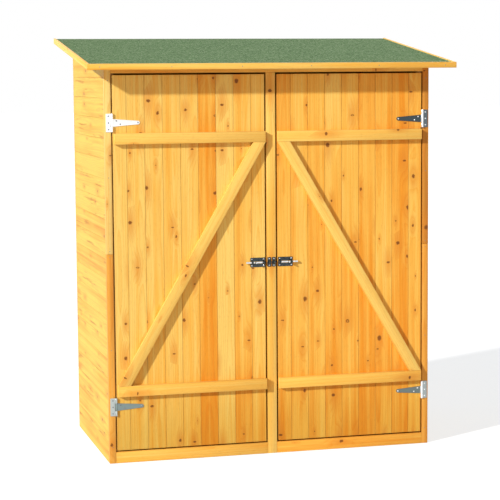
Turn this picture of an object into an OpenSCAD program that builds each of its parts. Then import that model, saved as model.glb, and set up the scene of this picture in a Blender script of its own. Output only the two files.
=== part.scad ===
// Small pent-roof tool shed with a pair of ledged and braced doors.
// Millimetres. X runs across the front, -Y is the front, +Z is up.
// The origin lies on the ground, under the middle of the roof.

/* [Body] */
// Width of the body across the outer faces of the side walls
body_w = 1240; // [1000:10:2000]
// Depth of the body from the faces of the front posts to the back wall
body_d = 700; // [500:10:1500]
// Height of the ground-level frame under the doors
sill_h = 42; // [41:1:80]
// Height of the doors
door_h = 1372; // [1100:1:2000]
// Thickness of the wall and door boards
board_t = 12; // [9:0.5:20]
// Width and depth of the battens that the boards are nailed to
stud_w = 28; // [20:1:50]

/* [Front] */
// Width of the front corner posts
post_w = 24; // [18:1:45]
// Depth of the front posts, in front of the side walls
post_t = 20; // [14:1:40]
// Width of the fixed post between the doors
centre_post_w = 36; // [34:1:80]
// Height above ground of the joint in the corner posts
post_joint_z = 772; // [400:1:1000]
// Width of the joint in the corner posts
post_joint_gap = 0.3; // [0.1:0.1:2]
// Gap round each door beside the corner post and over the sill
door_gap = 5; // [5:0.5:12]
// Gap between each door and the centre post
closing_gap = 5.5; // [5.5:0.5:12]
// Gap over each door
head_gap = 6; // [5:0.5:12]

/* [Doors] */
// Width of the ledges and braces
ledge_w = 40; // [30:1:80]
// Thickness of the ledges and braces
ledge_t = 18; // [12:1:30]
// Inset of each ledge from the hinge edge of its door
ledge_inset = 4; // [2:1:20]
// Height of the middle of the lower ledge above ground
lower_ledge_z = 268; // [200:1:500]
// Height of the middle of the upper ledge above ground
upper_ledge_z = 1190; // [900:1:1800]
// Slant width of the brace, measured along the ledges
brace_foot_w = 47; // [30:1:90]

/* [Roof] */
// Overhang of the roof beyond each side wall
side_overhang = 75; // [20:1:150]
// Overhang of the roof in front of the posts
front_overhang = 95; // [60:1:200]
// Overhang of the roof behind the back wall
back_overhang = 5; // [2:1:100]
// Rise of the roof over its whole depth
roof_rise = 108; // [40:1:300]
// Thickness of the roof boards
deck_t = 12; // [9:0.5:25]
// Thickness of the mineral felt
felt_t = 2; // [1:0.5:5]
// Height of the fascia and bargeboards
trim_h = 21; // [18:1:80]
// Thickness of the fascia and bargeboards
trim_t = 10; // [6:1:25]
// Height of the trim above the felt
trim_lip = 2; // [0:0.5:10]
// Clear height between the door heads and the roof boards over the posts
head_rail_h = 30; // [20:1:120]

/* [Floor] */
// Thickness of the floor boards
floor_t = 12; // [9:0.5:25]
// Drop of the floor below the top of the sill
floor_drop = 2; // [0:0.5:10]
// Number of joists under the floor
joist_count = 3; // [1:2:7]

/* [Hinges] */
// Height of the middle of the lower hinges above ground
lower_hinge_z = 210; // [150:1:400]
// Height of the middle of the upper hinges above ground
upper_hinge_z = 1248; // [950:1:1850]
// Height of the fixed leaf of a hinge
leaf_h = 66; // [40:1:100]
// Width of the fixed leaf, from the pin to its outer edge
leaf_w = 22; // [12:0.5:24]
// Thickness of the hinge metal
leaf_t = 2; // [1:0.5:2]
// Length of the strap, from the pin to its tip
strap_l = 102; // [60:1:250]
// Height of the strap at the pin
strap_root_h = 28; // [16:1:36]
// Height of the strap just before its round tip
strap_tip_h = 13; // [8:1:16]
// Outer diameter of the hinge knuckle
knuckle_d = 8; // [7:0.5:8]
// Diameter of the hinge pin
pin_d = 4; // [3:0.5:4]
// Gap round the pin in the strap's knuckle
pin_clearance = 0.2; // [0.1:0.05:0.4]
// Gap between neighbouring knuckles
knuckle_gap = 0.5; // [0.3:0.1:1.5]
// Depth of the knuckle behind the door's face
knuckle_sink = 0.5; // [0.2:0.1:0.8]

/* [Bolts] */
// Height of the bolts above ground
bolt_z = 724; // [400:1:1000]
// Length of the bolt's back plate
bolt_plate_l = 56; // [52:1:90]
// Height of the bolt's back plate and of its keep
bolt_plate_h = 35; // [24:1:50]
// Width of the keep on the centre post
keep_w = 14; // [10:1:15]
// Thickness of the bolt's metal
bolt_metal_t = 1.5; // [1:0.5:3]
// Diameter of the sliding rod
rod_d = 8; // [6:0.5:9]
// Travel of the sliding rod
rod_travel = 20; // [16:1:20]
// Gap round the rod in its guides and keep
rod_clearance = 0.3; // [0.2:0.05:0.6]
// Wall thickness of the guides round the rod
guide_wall = 2; // [1.5:0.5:4]
// Length of each guide along the rod
guide_l = 8; // [5:1:10]
// Diameter of the knob on the rod
knob_d = 6; // [4:0.5:8]
// Height of the knob above the rod's axis
knob_h = 16; // [12:1:25]

/* [Hidden] */
$fn = 48;
// Margin at the ends of the bolt's plates
plate_end = 2;
// Overshoot of the solids that cut others
cut = 1;
roof_w = body_w + 2 * side_overhang;
roof_d = front_overhang + body_d + back_overhang;

// The roof's plan is centred on the origin
roof_front = -roof_d / 2;
roof_back = roof_d / 2;
front_y = roof_front + front_overhang;
back_y = front_y + body_d;
side_front_y = front_y + post_t;
back_wall_y = back_y - board_t;
side_x = body_w / 2;
stud_out_x = side_x - board_t;
stud_in_x = stud_out_x - stud_w;
post_in_x = side_x - post_w;
centre_x = centre_post_w / 2;

// Heights
door_z = sill_h + door_gap;
door_top = door_z + door_h;
head_z = door_top + head_gap;
soffit_front = head_z + head_rail_h - front_overhang * roof_rise / roof_d;
soffit_back = soffit_front + roof_rise;
joist_h = sill_h - floor_t - floor_drop;

// Roof layers, as heights above the underside of the boards
felt_under = deck_t;
felt_over = deck_t + felt_t;
trim_over = felt_over + trim_lip;
trim_under = trim_over - trim_h;

// Doors
door_hinge_x = post_in_x - door_gap;
door_free_x = centre_x + closing_gap;
door_w = door_hinge_x - door_free_x;
ledge_out_x = door_hinge_x - ledge_inset;

// Hinges
pin_x = (post_in_x + door_hinge_x) / 2;
pin_y = front_y - knuckle_d / 2 + knuckle_sink;

// Bolts
guide_bore = rod_d + 2 * rod_clearance;
guide_d = guide_bore + 2 * guide_wall;
rod_y = front_y - bolt_metal_t - guide_bore / 2 - guide_wall / 2;
bolt_free_x = door_free_x + plate_end;
rod_tip_x = bolt_free_x + plate_end;
rod_l = bolt_plate_l + rod_travel - 2 * plate_end;
knob_x = bolt_free_x + (bolt_plate_l + rod_travel) / 2;

// Mirrors its children to the right-hand side when asked
module on_side(right) {
    mirror([right ? 1 : 0, 0, 0]) children();
}

// A bar between two corners
module bar(from, to) {
    translate(from) cube(to - from);
}

// Side outline of the roof, extruded across its whole width
module across_roof(outline) {
    rotate([90, 0, 90]) linear_extrude(roof_w, center = true) polygon(outline);
}

// A strip that follows the roof's slope between two heights above the soffit
module slope_strip(x0, x1, y0, y1, under, over) {
    intersection() {
        bar([x0, y0, soffit_front - stud_w], [x1, y1, soffit_back + trim_over]);
        across_roof([
            [roof_front, soffit_front + under], [roof_back, soffit_back + under],
            [roof_back, soffit_back + over], [roof_front, soffit_front + over]
        ]);
    }
}

// An upright from a given height whose top is cut to the roof's slope
module slope_topped(x0, x1, y0, y1, z0) {
    intersection() {
        bar([x0, y0, z0], [x1, y1, soffit_back]);
        across_roof([
            [roof_front, -cut], [roof_back, -cut],
            [roof_back, soffit_back], [roof_front, soffit_front]
        ]);
    }
}

// Front corner post above its joint
module post_upper(right) {
    on_side(right) color("burlywood")
        slope_topped(-side_x, -post_in_x, front_y, side_front_y, post_joint_z + post_joint_gap / 2);
}

// Front corner post below its joint
module post_lower(right) {
    on_side(right) color("peru")
        bar([-side_x, front_y, 0], [-post_in_x, side_front_y, post_joint_z - post_joint_gap / 2]);
}

// Fixed post between the doors
module centre_post() {
    color("goldenrod") bar([-centre_x, front_y, 0], [centre_x, side_front_y, head_z]);
}

// Rail over the doors
module front_top_rail() {
    color("sienna") slope_topped(-post_in_x, post_in_x, front_y, side_front_y, head_z);
}

// Rails under the doors, on each side of the centre post
module front_bottom_rail() {
    color("peru") for (right = [false, true])
        on_side(right) bar([-post_in_x, front_y, 0], [-centre_x, side_front_y, sill_h]);
}

// Boarded side wall
module side_wall(right) {
    on_side(right) color("gold") slope_topped(-side_x, -stud_out_x, side_front_y, back_wall_y, 0);
}

// Boarded back wall
module back_wall() {
    color("gold") slope_topped(-side_x, side_x, back_wall_y, back_y, 0);
}

// Corner batten that the boards are nailed to
module corner_stud(right, y0) {
    on_side(right) color("tan") slope_topped(-stud_out_x, -stud_in_x, y0, y0 + stud_w, 0);
}

// Battens under the roof along both side walls, between the corner battens
module side_top_rails() {
    color("tan") for (right = [false, true])
        on_side(right)
            slope_strip(-stud_out_x, -stud_in_x, side_front_y + stud_w, back_wall_y - stud_w, -stud_w, 0);
}

// Battens at the foot of both side walls, between the corner battens
module side_bottom_rails() {
    color("tan") for (right = [false, true])
        on_side(right)
            bar([-stud_out_x, side_front_y + stud_w, 0], [-stud_in_x, back_wall_y - stud_w, joist_h]);
}

// Batten under the roof along the back wall
module back_top_rail() {
    color("tan")
        slope_strip(-stud_in_x, stud_in_x, back_wall_y - stud_w, back_wall_y, -stud_w, 0);
}

// Batten at the foot of the back wall
module back_bottom_rail() {
    color("tan") bar([-stud_in_x, back_wall_y - stud_w, 0], [stud_in_x, back_wall_y, joist_h]);
}

// Joists that carry the floor from front to back
module floor_joists() {
    pitch = 2 * stud_in_x / (joist_count + 1);
    color("tan") for (i = [1 : joist_count])
        translate([-stud_in_x + i * pitch - stud_w / 2, side_front_y, 0])
            cube([stud_w, back_wall_y - stud_w - side_front_y, joist_h]);
}

// Floor boards just under the top of the sill, cut round the corner battens
module floor_boards() {
    color("burlywood") difference() {
        bar([-stud_out_x, side_front_y, joist_h], [stud_out_x, back_wall_y, joist_h + floor_t]);
        for (right = [false, true], y = [side_front_y - cut, back_wall_y - stud_w])
            on_side(right)
                bar([-stud_out_x - cut, y, joist_h - cut],
                    [-stud_in_x, y + stud_w + cut, joist_h + floor_t + cut]);
    }
}

// Roof boards
module roof_deck() {
    side = roof_w / 2 - trim_t;
    color("wheat") slope_strip(-side, side, roof_front + trim_t, roof_back, 0, felt_under);
}

// Mineral felt on the roof boards
module roof_felt() {
    side = roof_w / 2 - trim_t;
    color("darkgreen") slope_strip(-side, side, roof_front + trim_t, roof_back, felt_under, felt_over);
}

// Middle rafter between the front and back rails
module roof_rafter() {
    color("tan")
        slope_strip(-stud_w / 2, stud_w / 2, side_front_y, back_wall_y - stud_w, -stud_w, 0);
}

// Slim fascia along the front edge of the roof, over the ends of the bargeboards
module front_fascia() {
    side = roof_w / 2;
    color("orange") slope_strip(-side, side, roof_front, roof_front + trim_t, trim_under, trim_over);
}

// Slim bargeboard along one sloping edge of the roof
module bargeboard(right) {
    side = roof_w / 2;
    on_side(right) color("orange")
        slope_strip(-side, trim_t - side, roof_front + trim_t, roof_back, trim_under, trim_over);
}

// Upright cylinder on the hinge line, between two heights
module on_pin(z0, z1, d) {
    translate([-pin_x, pin_y, z0]) cylinder(h = z1 - z0, d = d);
}

// Fixed leaf of a hinge, with two knuckles and the pin
module hinge_leaf(z) {
    knuckle_z = strap_root_h / 2 + knuckle_gap;
    leaf_z = leaf_h / 2;
    difference() {
        bar([-pin_x - leaf_w, front_y - leaf_t, z - leaf_z], [-pin_x, front_y, z + leaf_z]);
        bar([-pin_x - knuckle_d / 2 - knuckle_gap, front_y - leaf_t - cut, z - knuckle_z],
            [-pin_x + cut, front_y + cut, z + knuckle_z]);
    }
    for (end = [-1, 1])
        on_pin(z + min(end * knuckle_z, end * leaf_z), z + max(end * knuckle_z, end * leaf_z), knuckle_d);
    on_pin(z - leaf_z, z + leaf_z, pin_d);
}

// Tapering strap of a hinge, with its knuckle
module hinge_strap(z) {
    tip_r = strap_tip_h / 2;
    root_r = strap_root_h / 2;
    difference() {
        union() {
            translate([-pin_x, front_y, z]) rotate([90, 0, 0]) linear_extrude(leaf_t) {
                polygon([
                    [0, -root_r], [strap_l - tip_r, -tip_r],
                    [strap_l - tip_r, tip_r], [0, root_r]
                ]);
                translate([strap_l - tip_r, 0]) circle(r = tip_r);
            }
            on_pin(z - root_r, z + root_r, knuckle_d);
        }
        on_pin(z - root_r - cut, z + root_r + cut, pin_d + 2 * pin_clearance);
    }
}

// Both fixed leaves on one side
module hinge_leaves(right) {
    on_side(right) color("silver") for (z = [lower_hinge_z, upper_hinge_z]) hinge_leaf(z);
}

// Both straps on one side
module hinge_straps(right) {
    on_side(right) color("lightgrey") for (z = [lower_hinge_z, upper_hinge_z]) hinge_strap(z);
}

// Boards of a door
module door_panel(right) {
    on_side(right) color("sandybrown")
        bar([-door_hinge_x, front_y, door_z], [-door_free_x, front_y + board_t, door_top]);
}

// Level ledge across the face of a door
module door_ledge(right, z) {
    on_side(right) color("orange")
        bar([-ledge_out_x, front_y - ledge_t, z - ledge_w / 2],
            [-door_free_x, front_y, z + ledge_w / 2]);
}

// Diagonal brace, from the hinge side at the foot to the free side at the top
module door_brace(right) {
    z0 = lower_ledge_z + ledge_w / 2;
    z1 = upper_ledge_z - ledge_w / 2;
    on_side(right) color("orange") translate([0, front_y, 0]) rotate([90, 0, 0])
        linear_extrude(ledge_t)
            polygon([
                [-ledge_out_x, z0], [-ledge_out_x + brace_foot_w, z0],
                [-door_free_x, z1], [-door_free_x - brace_foot_w, z1]
            ]);
}

// Solid of a guide round the rod, seated on its plate, without its bore
module guide_block(x0, x1) {
    translate([x0, rod_y, bolt_z]) rotate([0, 90, 0]) cylinder(h = x1 - x0, d = guide_d);
    bar([x0, rod_y, bolt_z - guide_d / 2], [x1, front_y - bolt_metal_t, bolt_z + guide_d / 2]);
}

// Bore for the rod
module rod_bore(x0, x1) {
    translate([x0, rod_y, bolt_z]) rotate([0, 90, 0]) cylinder(h = x1 - x0, d = guide_bore);
}

// Back plate of a bolt with its two guides
module bolt_plate(right) {
    x0 = -bolt_free_x - bolt_plate_l;
    x1 = -bolt_free_x;
    on_side(right) color("lightgrey") {
        bar([x0, front_y - bolt_metal_t, bolt_z - bolt_plate_h / 2],
            [x1, front_y, bolt_z + bolt_plate_h / 2]);
        difference() {
            for (start = [x0 + plate_end, x1 - plate_end - guide_l])
                guide_block(start, start + guide_l);
            rod_bore(x0, x1);
        }
    }
}

// Keep on the centre post that takes the end of the rod
module bolt_keep(right) {
    x1 = keep_w - centre_x + plate_end;
    on_side(right) color("silver") {
        bar([x1 - keep_w, front_y - bolt_metal_t, bolt_z - bolt_plate_h / 2],
            [x1, front_y, bolt_z + bolt_plate_h / 2]);
        difference() {
            guide_block(x1 - keep_w + plate_end, x1 - plate_end);
            rod_bore(x1 - keep_w, x1);
        }
    }
}

// Sliding rod with its knob, drawn back
module bolt_rod(right) {
    on_side(right) color("gainsboro") {
        translate([-rod_tip_x - rod_l, rod_y, bolt_z]) rotate([0, 90, 0]) cylinder(h = rod_l, d = rod_d);
        translate([-knob_x, rod_y, bolt_z]) rotate([90, 0, 0]) cylinder(h = knob_h, d = knob_d);
    }
}

post_upper(false);  // left_post_upper
post_lower(false);  // left_post_lower
post_upper(true);  // right_post_upper
post_lower(true);  // right_post_lower
centre_post();
front_top_rail();
front_bottom_rail();
side_wall(false);  // left_wall
side_wall(true);  // right_wall
back_wall();
corner_stud(false, side_front_y);  // front_left_stud
corner_stud(true, side_front_y);  // front_right_stud
corner_stud(false, back_wall_y - stud_w);  // back_left_stud
corner_stud(true, back_wall_y - stud_w);  // back_right_stud
side_top_rails();
side_bottom_rails();
back_top_rail();
back_bottom_rail();
floor_joists();
floor_boards();
roof_deck();
roof_felt();
roof_rafter();
front_fascia();
bargeboard(false);  // left_bargeboard
bargeboard(true);  // right_bargeboard
hinge_leaves(false);  // left_hinge_leaves
hinge_leaves(true);  // right_hinge_leaves
bolt_keep(false);  // left_bolt_keep
bolt_keep(true);  // right_bolt_keep
door_panel(false);  // left_door_panel
door_ledge(false, upper_ledge_z);  // left_door_upper_ledge
door_ledge(false, lower_ledge_z);  // left_door_lower_ledge
door_brace(false);  // left_door_brace
hinge_straps(false);  // left_hinge_straps
bolt_plate(false);  // left_bolt_plate
bolt_rod(false);  // left_bolt_rod
door_panel(true);  // right_door_panel
door_ledge(true, upper_ledge_z);  // right_door_upper_ledge
door_ledge(true, lower_ledge_z);  // right_door_lower_ledge
door_brace(true);  // right_door_brace
hinge_straps(true);  // right_hinge_straps
bolt_plate(true);  // right_bolt_plate
bolt_rod(true);  // right_bolt_rod
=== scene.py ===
"""Looks of a wooden tool shed: boarded walls, framed doors, felted roof and ironwork."""

import logging
import math
import random
from dataclasses import dataclass, field
from enum import Enum
from typing import Any, Sequence

import bmesh
import bpy
from mathutils import Matrix, Vector, noise


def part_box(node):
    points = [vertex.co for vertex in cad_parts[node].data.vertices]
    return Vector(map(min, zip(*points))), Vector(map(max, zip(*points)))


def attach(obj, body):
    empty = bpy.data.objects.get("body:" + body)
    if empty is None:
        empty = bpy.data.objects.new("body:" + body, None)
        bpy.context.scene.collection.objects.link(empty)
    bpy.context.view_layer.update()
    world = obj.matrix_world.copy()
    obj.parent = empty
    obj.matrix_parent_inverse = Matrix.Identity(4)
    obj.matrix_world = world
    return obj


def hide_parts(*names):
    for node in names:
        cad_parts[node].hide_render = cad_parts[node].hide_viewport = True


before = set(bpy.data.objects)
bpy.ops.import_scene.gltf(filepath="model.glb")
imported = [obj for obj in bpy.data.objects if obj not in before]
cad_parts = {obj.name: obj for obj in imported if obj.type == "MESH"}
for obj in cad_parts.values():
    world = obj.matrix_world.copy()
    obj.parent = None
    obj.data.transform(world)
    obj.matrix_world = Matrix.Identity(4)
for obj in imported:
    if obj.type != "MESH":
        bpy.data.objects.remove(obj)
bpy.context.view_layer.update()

LOG = logging.getLogger("tool_shed")
Colour = tuple[float, float, float]
Waves = tuple[float, float, float]
Socket = bpy.types.NodeSocket
Material = bpy.types.Material
Mesh = bmesh.types.BMesh
Places = list[tuple[Vector, Vector]]
WHITE = (1.0, 1.0, 1.0)
OUT_FRONT = Vector((0, -1, 0))

# Waves per metre of the figure in the wood: along, across and through a board
STREAKS = (0.9, 52.0, 52.0)
CLOUDS = (2.3, 9.0, 9.0)
FIBRES = (16.0, 900.0, 900.0)
PORES = (55.0, 1300.0, 1300.0)
RING_BENDS = (1.7, 11.0, 11.0)
KNOT_EDGES = (190.0, 190.0, 190.0)
FLECKS = (4.0, 85.0, 85.0)
FLECK_GROUPS = (2.6, 16.0, 16.0)
# Waves per metre, along each axis of the shed, of the tones in the felt and of the marks in the zinc
GRIT_CLUMPS = (120.0, 120.0, 120.0)
GRIT_PATCHES = (48.0, 48.0, 48.0)
GRIT_BANDS = (9.0, 26.0, 9.0)
ROLLING_MARKS = (260.0, 2400.0, 2400.0)
ZINC_BLOTCHES = (95.0, 95.0, 95.0)

# Metres by which pieces are left long before the roof's slope is cut on them
OVERRUN = 0.01
# Metres by which a tongue stops short of the ends of its boards
TONGUE_END = 0.002
# Metres from a hinge's pin to the outside of its knuckle
KNUCKLE_RADIUS = 0.004


class Axis(Enum):
    """A direction of the shed: across, from front to back, or up."""

    ACROSS = Vector((1, 0, 0))
    DEEP = Vector((0, 1, 0))
    UP = Vector((0, 0, 1))


class Side(Enum):
    """Which side of the shed a piece is on."""

    LEFT = -1
    RIGHT = 1

    @property
    def word(self) -> str:
        """Name of the side, as the nodes use it."""
        return self.name.lower()

    @property
    def out(self) -> Vector:
        """Direction that this side of the shed looks in."""
        return Vector((self.value, 0, 0))


def reach(node: str) -> tuple[float, float]:
    """Distances from the shed's middle to the near and the far edge of a node."""
    near, far = sorted(abs(corner.x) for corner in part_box(node))
    return near, far


class NodeGraph:
    """Lays out the nodes of a material or a world."""

    def __init__(self, owner: Material | bpy.types.World) -> None:
        """Empties the nodes of their owner.

        Args:
            owner: Material or world that the nodes belong to.
        """
        owner.use_nodes = True
        self.owner = owner
        self.tree = owner.node_tree
        self.tree.nodes.clear()

    def add(self, kind: str, inputs: dict[Any, Any] | None = None, **settings: Any) -> bpy.types.Node:
        """Adds a node and fills its inputs.

        Args:
            kind: Type of the node, without its ShaderNode prefix.
            inputs: Sockets or plain values, by input name or number.
            settings: Properties of the node.

        Returns:
            The new node.
        """
        node = self.tree.nodes.new("ShaderNode" + kind)
        for name, value in settings.items():
            setattr(node, name, value)
        for key, value in (inputs or {}).items():
            if isinstance(value, Socket):
                self.tree.links.new(value, node.inputs[key])
            elif isinstance(value, tuple) and node.inputs[key].type == "RGBA":
                node.inputs[key].default_value = (*value, 1.0)
            else:
                node.inputs[key].default_value = value
        return node

    def math(self, operation: str, *values: Any, clamp: bool = False) -> Socket:
        """Works out one number from up to three others."""
        return self.add("Math", dict(enumerate(values)), operation=operation, use_clamp=clamp).outputs[0]

    def times(self, first: Any, second: Any) -> Socket:
        """One number times another."""
        return self.math("MULTIPLY", first, second)

    def line(self, value: Any, slope: Any, start: Any) -> Socket:
        """A value times a slope, added to a start."""
        return self.math("MULTIPLY_ADD", value, slope, start)

    def sway(self, wave: Socket, amount: float, about: Any) -> Socket:
        """A value that noise, which lies about 0.5, moves up and down."""
        return self.line(self.math("SUBTRACT", wave, 0.5), amount, about)

    def vector(self, operation: str, first: Any, second: Any) -> Socket:
        """Vector that two vectors give under an operation."""
        return self.add("VectorMath", {0: first, 1: second}, operation=operation).outputs["Vector"]

    def length(self, first: Any, second: Any) -> Socket:
        """Length of a flat vector."""
        flat = self.add("CombineXYZ", {0: first, 1: second}).outputs[0]
        return self.add("VectorMath", {0: flat}, operation="LENGTH").outputs["Value"]

    def mark(self, name: str) -> Socket:
        """Vector that was written on the points of the boards."""
        return self.add("Attribute", attribute_name=name).outputs["Vector"]

    def where(self) -> Socket:
        """Place in the shed's own frame."""
        return self.add("TexCoord").outputs["Object"]

    def noise(self, where: Socket, waves: Waves, detail: float = 2.0) -> Socket:
        """Smooth noise that lies about 0.5, with its waves per metre along each axis."""
        spread = self.vector("MULTIPLY", where, waves)
        return self.add("TexNoise", {"Vector": spread, "Scale": 1.0, "Detail": detail}).outputs["Fac"]

    def fade(self, value: Socket, start: Any, end: Any) -> Socket:
        """Smooth change from 0 at the start to 1 at the end."""
        ends = {"Value": value, "From Min": start, "From Max": end}
        return self.add("MapRange", ends, interpolation_type="SMOOTHSTEP").outputs["Result"]

    def mix(self, amount: Any, first: Any, second: Any, blend: str = "MIX") -> Socket:
        """The first colour with a share of the second over it."""
        return self.add("Mix", {0: amount, 6: first, 7: second}, data_type="RGBA", blend_type=blend).outputs[2]

    def ramp(self, value: Socket, stops: Sequence[tuple[float, Colour]]) -> Socket:
        """Reads a colour from a row of stops.

        Args:
            value: Place along the row, from 0 to 1.
            stops: Places and their colours.

        Returns:
            The colour.
        """
        node = self.add("ValToRGB", {"Fac": value})
        band = node.color_ramp.elements
        while len(band) < len(stops):
            band.new(0.5)
        for element, (place, colour) in zip(band, stops):
            element.position = place
            element.color = (*colour, 1.0)
        return node.outputs["Color"]

    def split(self, vector: Socket) -> list[Socket]:
        """The three numbers of a vector."""
        return list(self.add("SeparateXYZ", {0: vector}).outputs)

    def background_rays(self) -> Socket:
        """Finds the rays that see the background, straight or by way of metal or glass.

        Returns:
            1 for such a ray and 0 for any other.
        """
        path = self.add("LightPath").outputs
        seen = self.math("MAXIMUM", path["Is Camera Ray"], path["Is Glossy Ray"])
        return self.math("MAXIMUM", seen, path["Is Transmission Ray"])

    def surface(
        self, colour: Socket, roughness: Any, height: Socket, relief: tuple[float, float],
        others: dict[str, float],
    ) -> Material:
        """Ends a material in a surface with fine relief.

        Args:
            colour: Its colour.
            roughness: Its roughness.
            height: Its relief.
            relief: How strongly the relief shows, and its depth in metres.
            others: More inputs of the shader.

        Returns:
            The finished material.
        """
        strength, depth = relief
        bump = self.add("Bump", {"Height": height, "Strength": strength, "Distance": depth})
        inputs = {"Base Color": colour, "Roughness": roughness, "Normal": bump.outputs[0], **others}
        return self.close(self.add("BsdfPrincipled", inputs))

    def close(self, shader: bpy.types.Node, output: str = "OutputMaterial") -> Any:
        """Ends the nodes in a shader, and gives back the material or world."""
        self.add(output, {"Surface": shader.outputs[0]})
        return self.owner


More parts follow.
